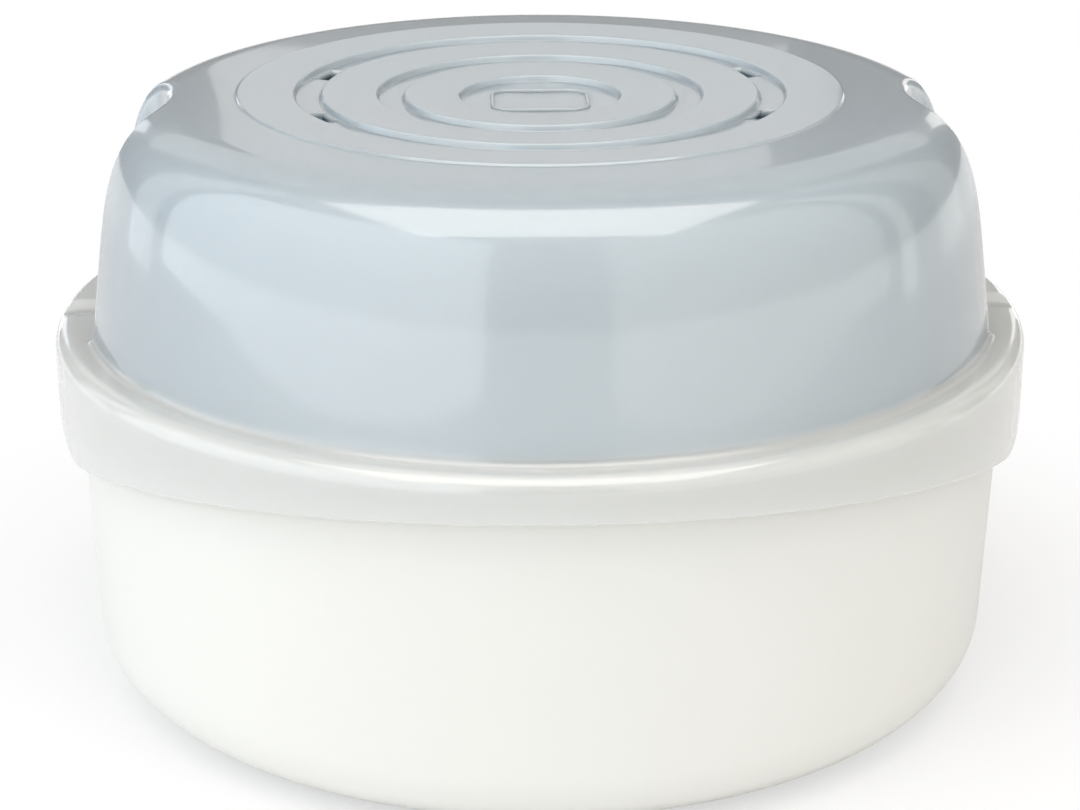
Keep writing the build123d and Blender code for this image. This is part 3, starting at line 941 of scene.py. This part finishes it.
class STERILIZER_OT_stage(bpy.types.Operator):
    """Set up the floor, the backdrop, the sky, the lamps and the camera"""

    bl_idname = "sterilizer.stage"
    bl_label = "Stage"

    def execute(self, context):
        self.make_floor()
        self.make_backdrop()
        self.make_sky()
        stage = settings("stage")
        for name, (light, share, tint, azimuth, reach, wide, tall) in PANELS.items():
            panel = self.make_lamp(name, share * getattr(stage, light), getattr(stage, tint), wide, tall)
            self.stand_up(panel, azimuth, reach, tall)
        overhead = self.make_lamp("panel_top", stage.top_light, stage.top_tint, *OVERHEAD_SIZE)
        overhead.location = OVERHEAD_PLACE
        self.make_camera()
        context.scene.view_settings.view_transform = "Standard"
        return {"FINISHED"}

    def make_floor(self):
        """A wide pale floor that keeps the object's shadow and fades to white round it."""
        material, tree = start_material("pale_floor")
        ray = add_node(tree, "ShaderNodeLightPath")
        place = add_node(tree, "ShaderNodeTexCoord").outputs["Object"]
        away = add_node(tree, "ShaderNodeVectorMath", {"operation": "LENGTH"}, {0: place})
        shares = []
        for kind, start, end, least in FLOOR_FADES:
            fade = add_node(
                tree,
                "ShaderNodeMapRange",
                {
                    "interpolation_type": "SMOOTHSTEP",
                    "From Min": start,
                    "From Max": end,
                    "To Min": least,
                    "To Max": 1.0,
                },
                {"Value": away.outputs["Value"]},
            )
            links = {0: ray.outputs[kind], 1: fade.outputs["Result"]}
            shares.append(add_node(tree, "ShaderNodeMath", {"operation": "MULTIPLY"}, links).outputs[0])
        share = add_node(tree, "ShaderNodeMath", {"operation": "MAXIMUM"}, dict(enumerate(shares)))
        self.make_sheet("floor", FLOOR_HALF_SIZE, Matrix(), material, share.outputs[0])

    def make_backdrop(self):
        """A pale backdrop behind the object, narrow below and wide above, which the lid's top mirrors."""
        upright = Matrix.Rotation(pi / 2, 4, "X")
        for name, (middle, half_size) in BACKDROPS.items():
            place = Matrix.Translation(middle) @ upright @ Matrix.Diagonal((*half_size, 1, 1))
            self.make_backdrop_sheet(name, place)

    def make_backdrop_sheet(self, name, place):
        """A sheet that the camera sees white and that polished faces mirror more dimly."""
        material, tree = start_material(name)
        ray = add_node(tree, "ShaderNodeLightPath")
        mirrored = add_node(
            tree,
            "ShaderNodeMath",
            {"operation": "MULTIPLY", 1: settings("stage").backdrop_light},
            {0: ray.outputs["Is Glossy Ray"]},
        )
        seen = add_node(
            tree,
            "ShaderNodeMath",
            {"operation": "MAXIMUM"},
            {0: ray.outputs["Is Camera Ray"], 1: mirrored.outputs[0]},
        )
        self.make_sheet(name, 1.0, place, material, seen.outputs[0])

    def make_sheet(self, name, half_size, place, material, glow_share):
        """A sheet of a pale material that glows white for a share of what is seen."""
        bm = bmesh.new()
        bmesh.ops.create_grid(bm, x_segments=1, y_segments=1, size=half_size, matrix=place)
        mesh = bpy.data.meshes.new(name)
        bm.to_mesh(mesh)
        bm.free()
        sheet = bpy.data.objects.new(name, mesh)
        bpy.context.scene.collection.objects.link(sheet)
        tree = material.node_tree
        diffuse = add_node(tree, "ShaderNodeBsdfDiffuse", {"Color": linear(settings("stage").floor)})
        glow = add_node(tree, "ShaderNodeEmission", {"Color": WHITE, "Strength": 1.0})
        shares = {0: glow_share, 1: diffuse.outputs[0], 2: glow.outputs[0]}
        surface = add_node(tree, "ShaderNodeMixShader", None, shares)
        add_node(tree, "ShaderNodeOutputMaterial", None, {"Surface": surface.outputs[0]})
        mesh.materials.append(material)

    def make_sky(self):
        """A white backdrop for the camera and for what is seen through the lid, over a soft grey sky."""
        world = bpy.data.worlds.new("studio")
        bpy.context.scene.world = world
        world.use_nodes = True
        tree = world.node_tree
        tree.nodes.clear()
        ray = add_node(tree, "ShaderNodeLightPath")
        seen = add_node(
            tree,
            "ShaderNodeMath",
            {"operation": "MAXIMUM"},
            {0: ray.outputs["Is Camera Ray"], 1: ray.outputs["Is Transmission Ray"]},
        )
        dim = {"Color": WHITE, "Strength": settings("stage").sky_light}
        grey = add_node(tree, "ShaderNodeBackground", dim)
        white = add_node(tree, "ShaderNodeBackground", {"Color": WHITE, "Strength": 1.0})
        shares = {0: seen.outputs[0], 1: grey.outputs[0], 2: white.outputs[0]}
        mixed = add_node(tree, "ShaderNodeMixShader", None, shares)
        add_node(tree, "ShaderNodeOutputWorld", None, {"Surface": mixed.outputs[0]})

    def make_lamp(self, name, radiance, tint, wide, tall):
        """A soft rectangular lamp with a given radiance, which the camera doesn't see."""
        light = bpy.data.lights.new(name, "AREA")
        light.shape = "RECTANGLE"
        light.size, light.size_y = wide, tall
        light.energy = radiance * pi * wide * tall
        light.color = linear(tint)[:3]
        lamp = bpy.data.objects.new(name, light)
        bpy.context.scene.collection.objects.link(lamp)
        lamp.visible_camera = False
        return lamp

    def stand_up(self, panel, azimuth, reach, tall):
        """Stands a panel on the floor at an azimuth, facing the object."""
        away = Vector((sin(azimuth), -cos(azimuth), 0))
        panel.location = away * reach + Vector((0, 0, tall / 2))
        panel.rotation_mode = "QUATERNION"
        panel.rotation_quaternion = away.to_track_quat("Z", "Y")

    def make_camera(self):
        """The camera at the photograph's angle."""
        stage = settings("stage")
        camera = bpy.data.objects.new("camera", bpy.data.cameras.new("camera"))
        bpy.context.scene.collection.objects.link(camera)
        camera.data.lens = stage.lens
        camera.data.sensor_width = 36
        camera.data.clip_start, camera.data.clip_end = 0.05, 30
        away = Vector((-sin(stage.azimuth), -cos(stage.azimuth), 0)) * stage.distance
        camera.location = away + Vector((0, 0, stage.height))
        camera.rotation_euler = (pi / 2 - stage.pitch, 0, -stage.azimuth)
        bpy.context.scene.camera = camera


OPERATORS = (
    STERILIZER_OT_lid,
    STERILIZER_OT_frame,
    STERILIZER_OT_bowl,
    STERILIZER_OT_rack,
    STERILIZER_OT_tongs,
    STERILIZER_OT_stage,
)


class STERILIZER_PT_panel(bpy.types.Panel):
    """Sizes, colours and steps of the sterilizer"""

    bl_idname = "STERILIZER_PT_panel"
    bl_label = "Bottle Sterilizer"
    bl_space_type = "VIEW_3D"
    bl_region_type = "UI"
    bl_category = "Sterilizer"

    def draw(self, context):
        for group in GROUPS:
            box = self.layout.box()
            for name in settings(group).__annotations__:
                box.prop(settings(group), name)
        for operator in OPERATORS:
            self.layout.operator(operator.bl_idname)


def register():
    """Registers the classes and hangs the property groups on the scene."""
    for item in (*GROUPS.values(), *OPERATORS, STERILIZER_PT_panel):
        bpy.utils.register_class(item)
    for name, group in GROUPS.items():
        setattr(bpy.types.Scene, f"sterilizer_{name}", PointerProperty(type=group))


def unregister():
    """Takes the property groups and the classes away."""
    for name in GROUPS:
        delattr(bpy.types.Scene, f"sterilizer_{name}")
    for item in reversed((*GROUPS.values(), *OPERATORS, STERILIZER_PT_panel)):
        bpy.utils.unregister_class(item)


def main():
    """Builds the pieces and the stage."""
    register()
    for operator in OPERATORS:
        group, name = operator.bl_idname.split(".")
        getattr(getattr(bpy.ops, group), name)()


if __name__ == "__main__":
    main()
